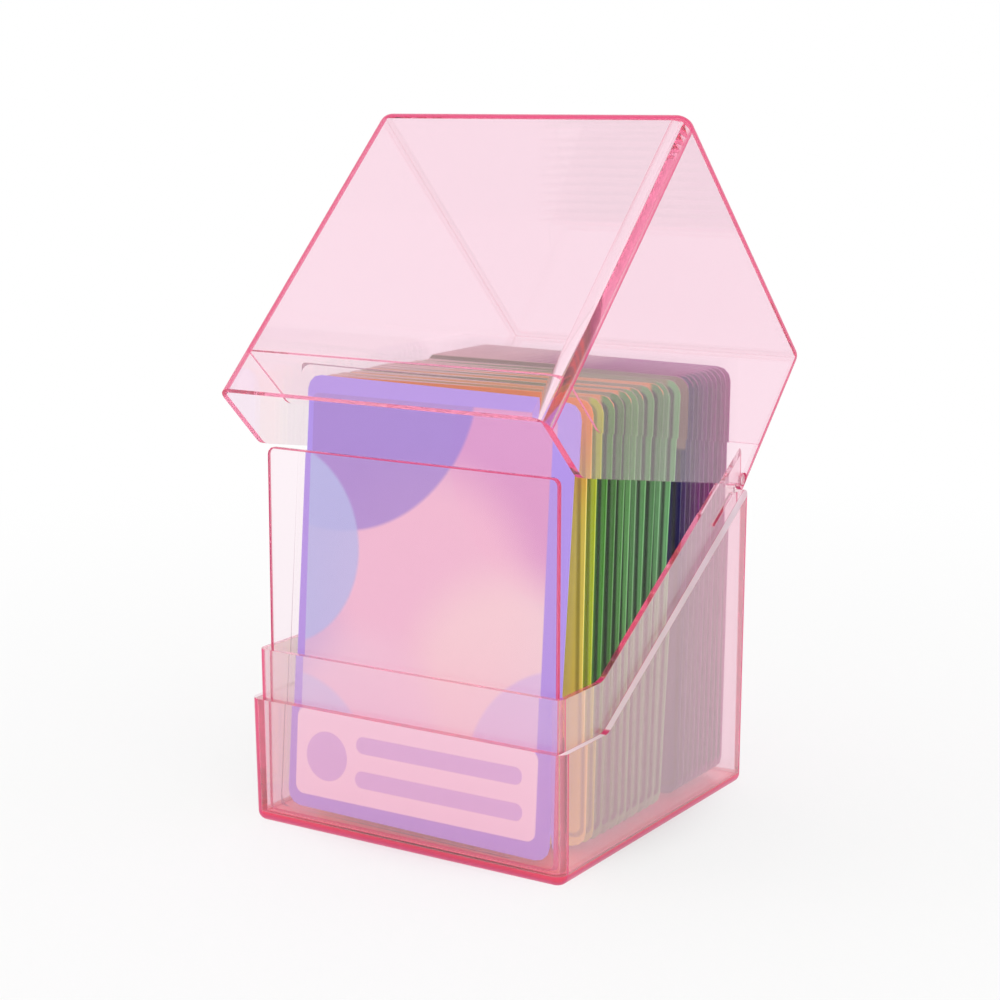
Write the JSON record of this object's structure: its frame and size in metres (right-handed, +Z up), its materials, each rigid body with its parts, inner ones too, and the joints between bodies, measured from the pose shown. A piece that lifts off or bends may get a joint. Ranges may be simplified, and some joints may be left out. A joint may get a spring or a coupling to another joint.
{
  "type": "card storage box",
  "caption": "Clear pink plastic box for trading cards, with a flip lid on sprung hinge ears, a front divider and a row of sleeved cards.",
  "frame": {"origin": "centre of the base's flat underside", "axes": "+X to the right seen from the front, +Y towards the hinge at the back, +Z up"},
  "size_m": [0.0762, 0.1086, 0.1434],
  "materials": {
    "clear_pink": "clear tinted polished plastic",
    "sleeve_film": "thin clear film",
    "card_front": "smooth coated card",
    "card_orange": "smooth coated card",
    "card_olive": "smooth coated card",
    "card_green": "smooth coated card",
    "card_purple": "smooth coated card"
  },
  "bodies": {
    "box_base": {"base": "clear_pink"},
    "box_lid": {"lid": "clear_pink"},
    "divider": {"front_divider": "clear_pink"},
    "front_card": {"sleeve_01": "sleeve_film", "card_01": "card_front"},
    "card_pack": {"sleeve_02": "sleeve_film", "card_02": "card_orange", "sleeve_03": "sleeve_film", "card_03": "card_olive", "sleeve_04": "sleeve_film", "card_04": "card_green", "sleeve_05": "sleeve_film", "card_05": "card_green", "sleeve_06": "sleeve_film", "card_06": "card_green", "sleeve_07": "sleeve_film", "card_07": "card_green", "sleeve_08": "sleeve_film", "card_08": "card_green", "sleeve_09": "sleeve_film", "card_09": "card_green", "sleeve_10": "sleeve_film", "card_10": "card_green", "sleeve_11": "sleeve_film", "card_11": "card_green", "sleeve_12": "sleeve_film", "card_12": "card_green", "sleeve_13": "sleeve_film", "card_13": "card_purple", "sleeve_14": "sleeve_film", "card_14": "card_purple", "sleeve_15": "sleeve_film", "card_15": "card_purple", "sleeve_16": "sleeve_film", "card_16": "card_purple", "sleeve_17": "sleeve_film", "card_17": "card_purple", "sleeve_18": "sleeve_film", "card_18": "card_purple", "sleeve_19": "sleeve_film", "card_19": "card_purple", "sleeve_20": "sleeve_film", "card_20": "card_purple", "sleeve_21": "sleeve_film", "card_21": "card_purple", "sleeve_22": "sleeve_film", "card_22": "card_purple"}
  },
  "joints": [
    {"name": "lid_hinge", "type": "hinge", "parent": "box_base", "child": "box_lid", "pos_m": [0, 0.03525, 0.06729], "axis": [-1, 0, 0], "range_deg": [-45, 20]},
    {"name": "divider_lift", "type": "slide", "parent": "box_base", "child": "divider", "axis": [0, 0, 1], "range_m": [0, 0.01]},
    {"name": "front_card_lift", "type": "slide", "parent": "box_base", "child": "front_card", "axis": [0.012, 0.0846, 0.9963], "range_m": [0, 0.007]},
    {"name": "card_pack_lift", "type": "slide", "parent": "box_base", "child": "card_pack", "axis": [0, 0, 1], "range_m": [0, 0.008]}
  ]
}
